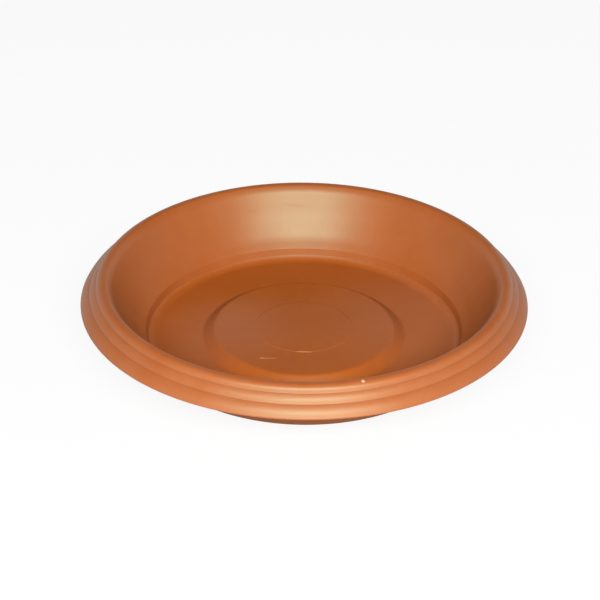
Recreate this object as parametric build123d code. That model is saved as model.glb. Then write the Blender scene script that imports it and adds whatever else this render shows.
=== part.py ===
from build123d import *
from math import atan2, cos, degrees, dist, radians, sin, tan
import os

# Plant saucer, one injection moulding in terracotta-coloured plastic.
# Millimetres and degrees. The dish is round about Z and stands on z = 0.
# A slope is measured from level: outwards and up is positive, outwards and down negative.

# Whole dish
RIM_DIAMETER = 250.0
HEIGHT = 41.0
FLARE = 35.7
WALL = 2.4

# Centre pad, opposite the gate
PAD_DIAMETER = 54.0
PAD_HEIGHT = 0.3
PAD_SLOPE = 60.0
PAD_ROUND = 0.2

# Raised plateau that keeps the pot out of the water
PLATEAU_DIAMETER = 101.2
PLATEAU_HEIGHT = 5.2
PLATEAU_SLOPE = 38.0
PLATEAU_EDGE_ROUND = 4.0
PLATEAU_FOOT_ROUND = 4.0

# Plain raised bar moulded on the plateau
MARK_LENGTH = 9.0
MARK_WIDTH = 2.4
MARK_HEIGHT = 0.4
MARK_ROUND = 0.2
MARK_LEFT = 19.0
MARK_FORWARD = 33.5

# Cove and riser at the edge of the floor, up to a step below the wall
COVE_RISE = 2.6
COVE_SLOPE = 47.0
COVE_ROUND = 6.6
RISER_INSET = 37.0
RISER_SLOPE = 74.0
RISER_FOOT_ROUND = 0.3
STEP_RISE = 6.6
STEP_ROUND = 0.2

# Hollow-curved wall, slack at the step and steeper towards the rim
KNEE_RUN = 4.2
KNEE_SLOPE = 49.5
KNEE_ROUND = 45.0
WAIST_HEIGHT = 25.0
WAIST_SLOPE = 57.0
WAIST_ROUND = 100.0

# Crest of the rim, eased into the wall by a soft shoulder
CREST_INSET = 10.4
CREST_WIDTH = 3.8
CREST_INNER_ROUND = 3.0
CREST_OUTER_ROUND = 4.0
CREST_END_SLOPE = 64.0
SHOULDER_SLOPE = 42.0
SHOULDER_DROP = 3.5
SHOULDER_ROUND = 20.0

# Three bands on the outside of the rim, parted by two grooves
FIRST_BAND_DROP = 3.6
SECOND_BAND_DROP = 4.35
SECOND_BAND_CROWN = 0.65
SECOND_BAND_ROUND = 8.8
THIRD_BAND_DROP = 5.65
THIRD_BAND_RUN = 5.0
THIRD_BAND_CROWN = 0.9
THIRD_BAND_ROUND = 11.5
CROWN_SHARE = 0.41
GROOVE_ROUND = 0.8

# Lip at the rim's lower edge
LIP_LAND = 0.8
LIP_EDGE_ROUND = 0.5
LIP_ROUND = 0.4

# Underside: foot of the base, recess below the plateau and gate stub
BASE_DRAFT = 14.0
BASE_ROUND = 0.8
BASE_TOP_ROUND = 1.0
RECESS_MOUTH_ROUND = 0.8
RECESS_CEILING_ROUND = 1.0
GATE_DIAMETER = 3.2
GATE_HEIGHT = 0.8
GATE_ROUND = 0.2


def slope_tan(slope):
    return tan(radians(slope))


def slope_between(start, end):
    return degrees(atan2(end[1] - start[1], end[0] - start[0]))


def below(point, slope, depth):
    """The point moved square to a line of that slope, towards the underside."""
    return (point[0] + depth * sin(radians(slope)), point[1] - depth * cos(radians(slope)))


def meet(first, first_slope, second, second_slope):
    """Where a line through the first point crosses a line through the second."""
    across = cos(radians(first_slope)), sin(radians(first_slope))
    along = cos(radians(second_slope)), sin(radians(second_slope))
    gap = second[0] - first[0], second[1] - first[1]
    reach = (gap[0] * along[1] - gap[1] * along[0]) / (across[0] * along[1] - across[1] * along[0])
    return (first[0] + reach * across[0], first[1] + reach * across[1])


def at_height(point, slope, height):
    """Where a line of that slope through the point reaches a height."""
    return (point[0] + (height - point[1]) / slope_tan(slope), height)


def crown_of(start, end, rise):
    """Corner that a band between two grooves is rounded from."""
    foot = [near + (far - near) * CROWN_SHARE for near, far in zip(start, end)]
    return below(foot, slope_between(start, end), -rise)


def eased_rounds(points, rounds):
    """Corner rounds of an open outline, eased where two of them would overlap on one straight."""
    half_turns = []
    for before, corner, after in zip(points, points[1:], points[2:]):
        turn = slope_between(corner, after) - slope_between(before, corner)
        half_turns.append(radians(abs((turn + 180) % 360 - 180)) / 2)
    reaches = [0] + [size * tan(half) for size, half in zip(rounds, half_turns)] + [0]
    spare_share = 0.98
    room_shares = [
        min(1, spare_share * dist(points[i], points[i + 1]) / (reaches[i] + reaches[i + 1]))
        for i in range(len(points) - 1)
    ]
    return [size * min(room_shares[i], room_shares[i + 1]) for i, size in enumerate(rounds)]


def rounded_outline(points, rounds):
    """Straights from point to point, with a tangent arc at each corner that is rounded."""
    spots = [Vector(*point) for point in points]
    outline = Curve()
    tip = spots[0]
    for before, corner, after, size in zip(spots, spots[1:], spots[2:], rounds):
        way_in = (corner - before).normalized()
        way_out = (after - corner).normalized()
        reach = size * slope_tan(way_in.get_angle(way_out) / 2)
        outline += Line(tip, corner - way_in * reach)
        tip = corner + way_out * reach
        if reach > 0:
            outline += TangentArc(corner - way_in * reach, tip, tangent=way_in)
    return outline + Line(tip, spots[-1])


def saucer_section():
    """Closed half section of the moulding, radius across and height up."""
    rim_radius = RIM_DIAMETER / 2
    base_radius = rim_radius - FLARE
    floor_top = WALL
    plateau_top = floor_top + PLATEAU_HEIGHT
    pad_top = plateau_top + PAD_HEIGHT

    # Upper side, from the axis outwards
    pad_edge = (PAD_DIAMETER / 2, pad_top)
    pad_foot = at_height(pad_edge, -PAD_SLOPE, plateau_top)
    plateau_edge = (PLATEAU_DIAMETER / 2, plateau_top)
    plateau_foot = at_height(plateau_edge, -PLATEAU_SLOPE, floor_top)
    riser_foot = (rim_radius - RISER_INSET, floor_top + COVE_RISE)
    cove = at_height(riser_foot, COVE_SLOPE, floor_top)
    step = at_height(riser_foot, RISER_SLOPE, floor_top + STEP_RISE)
    knee = (step[0] + KNEE_RUN, step[1] + KNEE_RUN * slope_tan(KNEE_SLOPE))
    waist = at_height(knee, WAIST_SLOPE, WAIST_HEIGHT)
    crest_outside = (rim_radius - CREST_INSET, HEIGHT)
    crest_inside = (crest_outside[0] - CREST_WIDTH, HEIGHT)
    shoulder = at_height(crest_inside, SHOULDER_SLOPE, HEIGHT - SHOULDER_DROP)
    first_groove = at_height(crest_outside, -CREST_END_SLOPE, HEIGHT - FIRST_BAND_DROP)
    second_groove = (rim_radius - THIRD_BAND_RUN, first_groove[1] - SECOND_BAND_DROP)
    lip_edge = (rim_radius, second_groove[1] - THIRD_BAND_DROP)
    lip_outside = (rim_radius, lip_edge[1] - LIP_LAND)

    # Underside, one wall below the upper side, from the lip inwards
    wall_slope = slope_between(waist, shoulder)
    second_slope = slope_between(first_groove, second_groove)
    third_slope = slope_between(second_groove, lip_edge)
    skirt_bend_slope = (second_slope + third_slope) / 2
    skirt_bend_depth = WALL / cos(radians(second_slope - third_slope) / 2)
    skirt_bend = below(second_groove, skirt_bend_slope, skirt_bend_depth)
    lip_inside = at_height(skirt_bend, third_slope, lip_outside[1])
    hollow_outside = at_height(skirt_bend, second_slope, HEIGHT - WALL)
    wall_outside = below(waist, wall_slope, WALL)
    waist_outside = below(waist, WAIST_SLOPE, WALL)
    knee_outside = below(knee, KNEE_SLOPE, WALL)
    shoulder_outside = below(shoulder, SHOULDER_SLOPE, WALL)
    hollow_inside = at_height(shoulder_outside, SHOULDER_SLOPE, HEIGHT - WALL)
    shoulder_below = meet(shoulder_outside, SHOULDER_SLOPE, wall_outside, wall_slope)
    waist_below = meet(waist_outside, WAIST_SLOPE, wall_outside, wall_slope)
    knee_below = meet(knee_outside, KNEE_SLOPE, waist_outside, WAIST_SLOPE)
    base_edge = (base_radius, 0)
    base_top = meet(base_edge, 90 - BASE_DRAFT, knee_outside, KNEE_SLOPE)
    recess_side = below(plateau_foot, -PLATEAU_SLOPE, WALL)
    recess_mouth = at_height(recess_side, -PLATEAU_SLOPE, 0)
    recess_ceiling = at_height(recess_side, -PLATEAU_SLOPE, plateau_top - WALL)
    gate_foot = (GATE_DIAMETER / 2, recess_ceiling[1])
    gate_rim = (GATE_DIAMETER / 2, recess_ceiling[1] - GATE_HEIGHT)

    corners = [
        (pad_edge, PAD_ROUND),
        (pad_foot, PAD_ROUND),
        (plateau_edge, PLATEAU_EDGE_ROUND),
        (plateau_foot, PLATEAU_FOOT_ROUND),
        (cove, COVE_ROUND),
        (riser_foot, RISER_FOOT_ROUND),
        (step, STEP_ROUND),
        (knee, KNEE_ROUND),
        (waist, WAIST_ROUND),
        (shoulder, SHOULDER_ROUND),
        (crest_inside, CREST_INNER_ROUND),
        (crest_outside, CREST_OUTER_ROUND),
        (first_groove, GROOVE_ROUND),
        (crown_of(first_groove, second_groove, SECOND_BAND_CROWN), SECOND_BAND_ROUND),
        (second_groove, GROOVE_ROUND),
        (crown_of(second_groove, lip_edge, THIRD_BAND_CROWN), THIRD_BAND_ROUND),
        (lip_edge, LIP_EDGE_ROUND),
        (lip_outside, LIP_ROUND),
        (lip_inside, LIP_ROUND),
        (skirt_bend, SECOND_BAND_ROUND),
        (hollow_outside, max(CREST_OUTER_ROUND - WALL, 0)),
        (hollow_inside, max(CREST_INNER_ROUND - WALL, 0)),
        (shoulder_below, SHOULDER_ROUND + WALL),
        (waist_below, WAIST_ROUND + WALL),
        (knee_below, KNEE_ROUND + WALL),
        (base_top, BASE_TOP_ROUND),
        (base_edge, BASE_ROUND),
        (recess_mouth, RECESS_MOUTH_ROUND),
        (recess_ceiling, RECESS_CEILING_ROUND),
        (gate_foot, GATE_ROUND),
        (gate_rim, GATE_ROUND),
    ]
    axis_top = (0, pad_top)
    axis_bottom = (0, gate_rim[1])
    points = [axis_top] + [point for point, size in corners] + [axis_bottom]
    rounds = eased_rounds(points, [size for point, size in corners])
    return make_face(rounded_outline(points, rounds) + Line(axis_bottom, axis_top))


def mould_mark():
    """Low bar with round ends, standing on the plateau and let into it."""
    plateau_top = WALL + PLATEAU_HEIGHT
    bar = extrude(SlotOverall(MARK_LENGTH, MARK_WIDTH), MARK_HEIGHT + WALL / 2)
    bar = fillet(bar.faces().sort_by(Axis.Z)[-1].edges(), MARK_ROUND)
    return Pos(-MARK_LEFT, -MARK_FORWARD, plateau_top - WALL / 2) * bar


saucer_body = revolve(Plane.XZ * saucer_section(), Axis.Z) + mould_mark()

os.makedirs("parts", exist_ok=True)
export_step(saucer_body, "parts/saucer_body.step")
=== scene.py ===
import math

import bmesh
import bpy
from mathutils import Matrix, Vector


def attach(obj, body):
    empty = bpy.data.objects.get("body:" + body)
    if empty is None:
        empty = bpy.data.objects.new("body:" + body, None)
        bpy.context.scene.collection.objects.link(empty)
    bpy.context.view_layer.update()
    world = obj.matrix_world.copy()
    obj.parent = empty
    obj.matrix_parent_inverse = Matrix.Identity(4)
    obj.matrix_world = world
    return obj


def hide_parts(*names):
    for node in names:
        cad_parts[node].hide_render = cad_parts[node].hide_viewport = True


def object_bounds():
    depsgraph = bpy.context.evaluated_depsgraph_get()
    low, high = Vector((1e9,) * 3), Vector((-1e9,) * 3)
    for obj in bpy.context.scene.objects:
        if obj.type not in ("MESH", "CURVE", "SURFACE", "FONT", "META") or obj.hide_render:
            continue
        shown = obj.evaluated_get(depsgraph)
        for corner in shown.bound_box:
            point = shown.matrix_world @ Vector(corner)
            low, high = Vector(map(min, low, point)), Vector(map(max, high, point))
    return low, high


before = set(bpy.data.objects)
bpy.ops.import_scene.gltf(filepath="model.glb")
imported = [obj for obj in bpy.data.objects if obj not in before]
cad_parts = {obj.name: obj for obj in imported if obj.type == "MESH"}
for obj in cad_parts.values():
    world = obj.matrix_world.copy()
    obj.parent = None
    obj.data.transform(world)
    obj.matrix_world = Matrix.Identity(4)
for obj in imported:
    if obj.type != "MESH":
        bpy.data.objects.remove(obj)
cad_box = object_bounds()

# The saucer, one injection moulding in terracotta-coloured polypropylene with a satin skin.
# The mould halves were turned on a lathe, so the dish is one section spun about its upright axis,
# with a plain low bar left standing on the plateau.
rim_radius = (cad_box[1].x - cad_box[0].x) / 2
rim_height = cad_box[1].z
wall = 0.0024
base_radius = rim_radius - 0.0357
base_slope = math.radians(76)
pad_radius = 0.027
pad_rise = 0.0003
pad_slope = math.radians(20)
plateau_radius = 0.0506
plateau_rise = 0.0052
plateau_slope = math.radians(38)
cove_rise = 0.0026
cove_slope = math.radians(47)
riser_inset = 0.0370
riser_slope = math.radians(74)
step_rise = 0.0066
knee_run = 0.0042
knee_slope = math.radians(49.5)
waist_height = 0.025
waist_slope = math.radians(57)
crest_inset = 0.0104
crest_width = 0.0043
crest_end_slope = math.radians(64)
shoulder_slope = math.radians(46)
shoulder_drop = 0.0028
band_drops = 0.0036, 0.00435, 0.00565
last_band_run = 0.0050
band_crowns = 0.00065, 0.0009
crown_share = 0.41
lip_land = 0.0008
gate_radius = 0.0016
gate_drop = 0.0008


def slope_between(start, end):
    return math.atan2(end[1] - start[1], end[0] - start[0])


def below(point, slope, depth):
    """The point moved square to a line of that slope, towards the underside."""
    return point[0] + depth * math.sin(slope), point[1] - depth * math.cos(slope)


def meet(first, first_slope, second, second_slope):
    """Where a line through the first point crosses a line through the second."""
    gap = second[0] - first[0], second[1] - first[1]
    along = math.cos(second_slope), math.sin(second_slope)
    reach = (gap[0] * along[1] - gap[1] * along[0]) / math.sin(second_slope - first_slope)
    return first[0] + reach * math.cos(first_slope), first[1] + reach * math.sin(first_slope)


def along(point, slope, run):
    return point[0] + run, point[1] + run * math.tan(slope)


def crown_of(start, end, rise):
    """Corner that a band between two grooves is rounded from."""
    foot = [near + (far - near) * crown_share for near, far in zip(start, end)]
    return below(foot, slope_between(start, end), -rise)


plateau_top = wall + plateau_rise
pad_top = plateau_top + pad_rise
plateau_foot = plateau_radius + plateau_rise / math.tan(plateau_slope), wall
base_edge = base_radius, 0
riser_foot = rim_radius - riser_inset, wall + cove_rise
cove = riser_foot[0] - cove_rise / math.tan(cove_slope), wall
step = meet(riser_foot, riser_slope, (0, wall + step_rise), 0)
knee = along(step, knee_slope, knee_run)
waist = meet(knee, waist_slope, (0, waist_height), 0)
crest_outside = rim_radius - crest_inset, rim_height
crest_inside = crest_outside[0] - crest_width, rim_height
shoulder = meet(crest_inside, shoulder_slope, (0, rim_height - shoulder_drop), 0)
groove_1 = meet(crest_outside, -crest_end_slope, (0, rim_height - band_drops[0]), 0)
groove_2 = rim_radius - last_band_run, groove_1[1] - band_drops[1]
lip_edge = rim_radius, groove_2[1] - band_drops[2]
lip_outside = rim_radius, lip_edge[1] - lip_land
wall_slope = slope_between(waist, shoulder)
skirt_slopes = slope_between(groove_1, groove_2), slope_between(groove_2, lip_edge)
skirt_bend = below(groove_2, sum(skirt_slopes) / 2, wall)
crest_ceiling = below(crest_outside, 0, wall)
wall_outside = below(waist, wall_slope, wall)
shoulder_outside = below(shoulder, shoulder_slope, wall)
waist_outside = below(waist, waist_slope, wall)
knee_outside = below(knee, knee_slope, wall)
recess_side = below(plateau_foot, -plateau_slope, wall)
recess_ceiling = meet(recess_side, -plateau_slope, (0, plateau_top - wall), 0)

# Each corner of the section with the radius it is rounded to and the steps in that round.
section_corners = [
    ((0, pad_top), 0, 0),
    ((pad_radius, pad_top), 0.0002, 4),
    ((pad_radius + pad_rise / math.tan(pad_slope), plateau_top), 0.0002, 4),
    ((plateau_radius, plateau_top), 0.0040, 10),
    (plateau_foot, 0.0040, 10),
    (cove, 0.0066, 14),
    (riser_foot, 0.0003, 4),
    (step, 0.0002, 4),
    (knee, 0.0450, 10),
    (waist, 0.1000, 8),
    (shoulder, 0.0130, 10),
    (crest_inside, 0.0030, 10),
    (crest_outside, 0.0040, 14),
    (groove_1, 0.0008, 6),
    (crown_of(groove_1, groove_2, band_crowns[0]), 0.0088, 12),
    (groove_2, 0.0008, 6),
    (crown_of(groove_2, lip_edge, band_crowns[1]), 0.0115, 12),
    (lip_edge, 0.0005, 4),
    (lip_outside, 0.0004, 6),
    (meet(skirt_bend, skirt_slopes[1], lip_outside, 0), 0.0006, 8),
    (skirt_bend, 0.0064, 4),
    (meet(crest_ceiling, 0, skirt_bend, skirt_slopes[0]), 0.0007, 6),
    (meet(shoulder_outside, shoulder_slope, crest_ceiling, 0), 0.0003, 4),
    (meet(shoulder_outside, shoulder_slope, wall_outside, wall_slope), 0.0154, 10),
    (meet(waist_outside, waist_slope, wall_outside, wall_slope), 0.1024, 8),
    (meet(knee_outside, knee_slope, waist_outside, waist_slope), 0.0474, 10),
    (meet(base_edge, base_slope, knee_outside, knee_slope), 0.0010, 6),
    (base_edge, 0.0008, 6),
    (meet(recess_side, -plateau_slope, base_edge, 0), 0.0008, 6),
    (recess_ceiling, 0.0010, 6),
    ((gate_radius, recess_ceiling[1]), 0.0002, 3),
    ((gate_radius, recess_ceiling[1] - gate_drop), 0.0002, 3),
    ((0, recess_ceiling[1] - gate_drop), 0, 0),
]
edge_guard = 0.00025
turns_about_axis = 320


def draw_section(mesh, corners):
    """Draws the outline in the XZ plane: straights, with a vertex spun round the centre of each corner."""
    spots = [Vector((place[0], 0, place[1])) for place, size, steps in corners]
    tip = mesh.verts.new(spots[0])

    def line_to(tip, spot):
        span = spot - tip.co
        guards = [edge_guard, span.length - edge_guard] if span.length > 4 * edge_guard else []
        for place in guards + [span.length]:
            new_tip = mesh.verts.new(spot - span.normalized() * (span.length - place))
            mesh.edges.new((tip, new_tip))
            tip = new_tip
        return tip

    for before, spot, after, (place, size, steps) in zip(spots, spots[1:], spots[2:], corners[1:]):
        way_in, way_out = (spot - before).normalized(), (after - spot).normalized()
        turn = way_in.angle(way_out)
        axis = way_in.cross(way_out).normalized()
        tip = line_to(tip, spot - way_in * size * math.tan(turn / 2))
        centre = tip.co + axis.cross(way_in) * size
        arc = bmesh.ops.spin(mesh, geom=[tip], cent=centre, axis=axis, angle=turn, steps=steps)
        tip = next(part for part in arc["geom_last"] if isinstance(part, bmesh.types.BMVert))
    line_to(tip, spots[-1])


dish = bmesh.new()
draw_section(dish, section_corners)
bmesh.ops.spin(dish, geom=dish.verts[:] + dish.edges[:], cent=(0, 0, 0), axis=(0, 0, 1), angle=math.tau,
               steps=turns_about_axis, use_merge=True)
bmesh.ops.remove_doubles(dish, verts=dish.verts[:], dist=1e-6)

# The bar starts as a block. Its upright edges are rounded to full half circles, then its top edge is eased.
mark_length, mark_width, mark_rise = 0.0090, 0.0024, 0.0004
mark_sink = 0.0001
mark_round = 0.0002
mark_middle = Vector((-0.0190, -0.0335, plateau_top + (mark_rise - mark_sink) / 2))
mark = bmesh.new()
bmesh.ops.create_cube(mark, size=1, matrix=Matrix.Translation(mark_middle) @ Matrix.Diagonal(
    (mark_length, mark_width, mark_rise + mark_sink, 1)))
upright = [edge for edge in mark.edges if edge.verts[0].co.xy == edge.verts[1].co.xy]
bmesh.ops.bevel(mark, geom=upright, offset=0.49 * mark_width, affect="EDGES", segments=8, profile=0.5,
                material=-1)
top_edges = [edge for edge in mark.edges if min(vert.co.z for vert in edge.verts) > mark_middle.z]
bmesh.ops.bevel(mark, geom=top_edges, offset=mark_round, affect="EDGES", segments=3, profile=0.5,
                material=-1)

# Two low pips catch the light, one on the pad's front edge and one at the bar's left end.
pips = [
    (Vector((0.0002, -pad_radius, plateau_top)), (0.0055, 0.0007, 0.0006)),
    (Vector((-0.0229, -0.0336, plateau_top)), (0.0019, 0.0012, 0.0007)),
]
for pip_middle, pip_reach in pips:
    bmesh.ops.create_uvsphere(mark, u_segments=16, v_segments=10, radius=1,
                              matrix=Matrix.Translation(pip_middle) @ Matrix.Diagonal((*pip_reach, 1)))
mark_mesh = bpy.data.meshes.new("mark")
mark.to_mesh(mark_mesh)
mark.free()
dish.from_mesh(mark_mesh)
bpy.data.meshes.remove(mark_mesh)
bmesh.ops.recalc_face_normals(dish, faces=dish.faces[:])
for face in dish.faces:
    face.smooth = True
saucer_mesh = bpy.data.meshes.new("saucer")
dish.to_mesh(saucer_mesh)
dish.free()
saucer = bpy.data.objects.new("saucer", saucer_mesh)
bpy.context.scene.collection.objects.link(saucer)


class Shade:
    """An output socket in a finish's node tree. Arithmetic on it adds Math nodes."""

    def __init__(self, tree, output=None):
        self.tree = tree
        self.output = output

    def node(self, kind, settings, sockets, out=0):
        made = self.tree.nodes.new(kind)
        for name, value in settings.items():
            setattr(made, name, value)
        for name, value in sockets.items():
            if isinstance(value, Shade):
                self.tree.links.new(value.output, made.inputs[name])
            else:
                made.inputs[name].default_value = value
        return Shade(self.tree, made.outputs[out] if made.outputs else None)

    def math(self, operation, first, second=0.0):
        return self.node("ShaderNodeMath", {"operation": operation}, {0: first, 1: second})

    def __add__(self, other):
        return self.math("ADD", self, other)

    def __sub__(self, other):
        return self.math("SUBTRACT", self, other)

    def __rsub__(self, other):
        return self.math("SUBTRACT", other, self)

    def __mul__(self, other):
        return self.math("MULTIPLY", self, other)

    def __truediv__(self, other):
        return self.math("DIVIDE", self, other)

    def __pow__(self, other):
        return self.math("POWER", self, other)

    __radd__ = __add__
    __rmul__ = __mul__

    def between(self, low, high):
        """0 up to low, 1 from high on, and a soft step between them."""
        limits = {"Value": self, "From Min": low, "From Max": high}
        return self.node("ShaderNodeMapRange", {"interpolation_type": "SMOOTHSTEP"}, limits)

    def towards(self, colour, share):
        """This colour mixed with another one by a share that may vary."""
        return self.node("ShaderNodeMix", {"data_type": "RGBA"}, {0: share, 6: self, 7: colour}, 2)

    def clouds(self, scale, detail):
        """Soft noise about 0 on the place that this socket holds."""
        return self.node("ShaderNodeTexNoise", {}, {"Vector": self, "Scale": scale, "Detail": detail}) - 0.5


def new_finish(name):
    """An empty material and the start of its node tree."""
    material = bpy.data.materials.new(name)
    material.use_nodes = True
    material.node_tree.nodes.clear()
    return material, Shade(material.node_tree)


terracotta_deep = (0.314, 0.066, 0.0060, 1)
terracotta_pale = (0.376, 0.087, 0.0100, 1)
# A pale tint for dust and for painted sheen.
film_and_painted_sheen_tint = (0.78, 0.72, 0.64, 1)
# A dark tint for the painted shade in the grooves.
groove_painted_shade = (0.16, 0.052, 0.018, 1)
# A pale tint for the fleck and its painted glint.
pale_fleck_glint_tint = (0.66, 0.50, 0.30, 1)
plastic, start = new_finish("terracotta_plastic")
place = start.node("ShaderNodeTexCoord", {}, {}, "Object")
x, y, z = (start.node("ShaderNodeSeparateXYZ", {}, {"Vector": place}, axis) for axis in "XYZ")
reach = (x * x + y * y + 1e-8) ** 0.5

# Pigment: broad clouds, streaks along the flow outwards from the gate, and fine flecks.
flow = start.node("ShaderNodeCombineXYZ", {}, {"X": x / reach, "Y": y / reach, "Z": reach * 8.0})
pigment = 0.5 + 0.9 * place.clouds(24.0, 4.0) + 0.7 * flow.clouds(7.0, 3.0) + 0.5 * place.clouds(700.0, 2.0)
shades = {0: pigment, 6: terracotta_deep, 7: terracotta_pale}
tone = start.node("ShaderNodeMix", {"data_type": "RGBA"}, shades, 2)

# The pale tint is painted sheen in two patches on the floor, where reflections fall, and a trace of real
# dust on the wall and rim, doubled on the rim's front as painted sheen.
on_floor = reach.between(riser_foot[0], cove[0]) * z.between(step[1], plateau_top)
painted_sheen_pools = 0.0
for pool_x, pool_y, pool_size in (-0.045, 0.0, 0.055), (0.066, 0.020, 0.080):
    off_pool = ((x - pool_x) ** 2 + (y - pool_y) ** 2) ** 0.5
    painted_sheen_pools = off_pool.between(pool_size, 0) + painted_sheen_pools
painted_sheen_pools = on_floor * painted_sheen_pools * (0.9 + 0.9 * place.clouds(17.0, 3.0))
dusty = 0.5 + 0.9 * place.clouds(60.0, 5.0)
on_rim_front = reach.between(crest_inside[0], groove_1[0]) * y.between(-0.040, -0.095)
dust_and_painted_sheen = 0.050 * painted_sheen_pools + 0.030 * dusty * (1 - on_floor + on_rim_front)
tone = tone.towards(film_and_painted_sheen_tint, dust_and_painted_sheen)

# Painted shade darkens the two grooves of the rim and the foot of the riser.
painted_crease_shade = 0.0
for line, width in (groove_1, 0.0006), (groove_2, 0.0006), (riser_foot, 0.0005):
    off_line = ((reach - line[0]) ** 2 + (z - line[1]) ** 2) ** 0.5
    painted_crease_shade = off_line.between(width, 0.0) + painted_crease_shade
painted_crease_shade = painted_crease_shade * (0.30 + 0.5 * place.clouds(90.0, 3.0))
tone = tone.towards(groove_painted_shade, painted_crease_shade)

# One pale fleck sits on the front of the crest, painted bright enough to stand for a glint as well.
fleck_x, fleck_y, fleck_reach = 0.0308, -0.1090, 0.0013
off_fleck = ((x - fleck_x) ** 2 + (y - fleck_y) ** 2) ** 0.5
on_crest = z.between(rim_height - 0.0015, rim_height - 0.0005)
fleck_and_glint = 0.75 * on_crest * off_fleck.between(fleck_reach, 0.4 * fleck_reach)
tone = tone.towards(pale_fleck_glint_tint, fleck_and_glint)

# Fine rings from the lathe that turned the mould, a satin grain, and hairline scuffs dulled by wear.
along_section = reach + z
rings = start.node("ShaderNodeTexNoise", {"noise_dimensions": "1D"}, {"W": along_section, "Scale": 1400.0})
grain = place.clouds(1500.0, 2.0)
scuff_way = {"Vector": place, "Rotation": (0, 0, 0.7), "Scale": (14, 260, 60)}
scuffs = start.node("ShaderNodeMapping", {}, scuff_way).clouds(1.0, 2.0).between(0.16, 0.24)
worn_rim = 0.03 * reach.between(groove_1[0] - 0.004, groove_1[0])
rough = 0.415 + worn_rim + 0.05 * place.clouds(35.0, 3.0)
rough = rough + 0.03 * (rings - 0.5) + 0.06 * scuffs + 0.12 * dust_and_painted_sheen
height = 0.6 * grain + 0.5 * rings - 0.25 * scuffs
relief = start.node("ShaderNodeBump", {}, {"Strength": 0.10, "Distance": 0.0002, "Height": height})
skin = start.node("ShaderNodeBsdfPrincipled", {}, {
    "Base Color": tone, "Roughness": rough, "Normal": relief,
    "IOR": 1.58, "Specular Tint": (0.57, 1.0, 0.69, 1),
})
start.node("ShaderNodeOutputMaterial", {}, {"Surface": skin})
saucer_mesh.materials.append(plastic)
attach(saucer, "root")
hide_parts("saucer_body")

# The floor is a pale round studio sweep that curls up at its edge, so every view has the same ground.
# It isn't part of the object.
floor_radius = 3.0
sweep_height = 1.4
sweep = bmesh.new()
bmesh.ops.create_circle(sweep, cap_ends=True, segments=96, radius=floor_radius)
rim_edges = [edge for edge in sweep.edges if edge.is_boundary]
raised = bmesh.ops.extrude_edge_only(sweep, edges=rim_edges)["geom"]
raised = [part for part in raised if isinstance(part, bmesh.types.BMVert)]
bmesh.ops.translate(sweep, vec=(0, 0, sweep_height), verts=raised)
floor_mesh = bpy.data.meshes.new("studio_floor")
sweep.to_mesh(floor_mesh)
sweep.free()
floor = bpy.data.objects.new("studio_floor", floor_mesh)
bpy.context.scene.collection.objects.link(floor)
paper, start = new_finish("pale_paper")
rays = "Is Camera Ray", "Is Glossy Ray", "Is Transmission Ray"
seen = sum(start.node("ShaderNodeLightPath", {}, {}, ray) for ray in rays)
matt = start.node("ShaderNodeBsdfDiffuse", {}, {"Color": (0.80, 0.80, 0.80, 1)})
glow = start.node("ShaderNodeEmission", {}, {"Color": (1, 1, 1, 1), "Strength": 1.0})
blend = start.node("ShaderNodeMixShader", {}, {0: seen * 0.9, 1: matt, 2: glow})
start.node("ShaderNodeOutputMaterial", {}, {"Surface": blend})
floor_mesh.materials.append(paper)

# One broad soft box hangs in front of the saucer, a little above the camera, and lights it alone.
# A dim even room light fills the shadows.
key_data = bpy.data.lights.new("soft_box", "AREA")
key_data.shape = "ELLIPSE"
key_data.size = 1.5
key_data.size_y = 0.36
key_data.energy = 34.4
key = bpy.data.objects.new("soft_box", key_data)
key_height = math.radians(37.2)
key_distance = 1.4
key.location = (0.05, -key_distance * math.cos(key_height), key_distance * math.sin(key_height))
key.rotation_euler = (-key.location).to_track_quat("-Z", "Y").to_euler()
bpy.context.scene.collection.objects.link(key)
room = bpy.data.worlds.new("room")
room.use_nodes = True
room.node_tree.nodes["Background"].inputs["Color"].default_value = (1, 1, 1, 1)
room.node_tree.nodes["Background"].inputs["Strength"].default_value = 0.08
bpy.context.scene.world = room

# The camera stands in front, a long lens away, and looks down from about 31 degrees.
# It leans a little, as it did for the photograph.
picture_size = 600
saucer_pixel = 304.2, 329.4
pixels_per_radius = 220.9
view_height = math.radians(31.03)
view_lean = math.radians(0.575)
view_distance = 10 * rim_radius
pivot = Vector((0, 0, 0.0465 * rim_radius))
eye = pivot + view_distance * Vector((0, -math.cos(view_height), math.sin(view_height)))
metres_per_pixel = rim_radius / pixels_per_radius
across = Vector((1, 0, 0))
upwards = Vector((0, math.sin(view_height), math.cos(view_height)))
aim = pivot + metres_per_pixel * (
    (picture_size / 2 - saucer_pixel[0]) * across + (saucer_pixel[1] - picture_size / 2) * upwards
)
camera_data = bpy.data.cameras.new("camera")
camera_data.lens = camera_data.sensor_width * pixels_per_radius * (view_distance / rim_radius) / picture_size
camera = bpy.data.objects.new("camera", camera_data)
lean = Matrix.Rotation(view_lean, 4, "Z")
facing = (aim - eye).to_track_quat("-Z", "Y").to_matrix().to_4x4()
camera.matrix_world = Matrix.Translation(eye) @ facing @ lean
bpy.context.scene.collection.objects.link(camera)
bpy.context.scene.camera = camera
bpy.context.scene.view_settings.view_transform = "Standard"
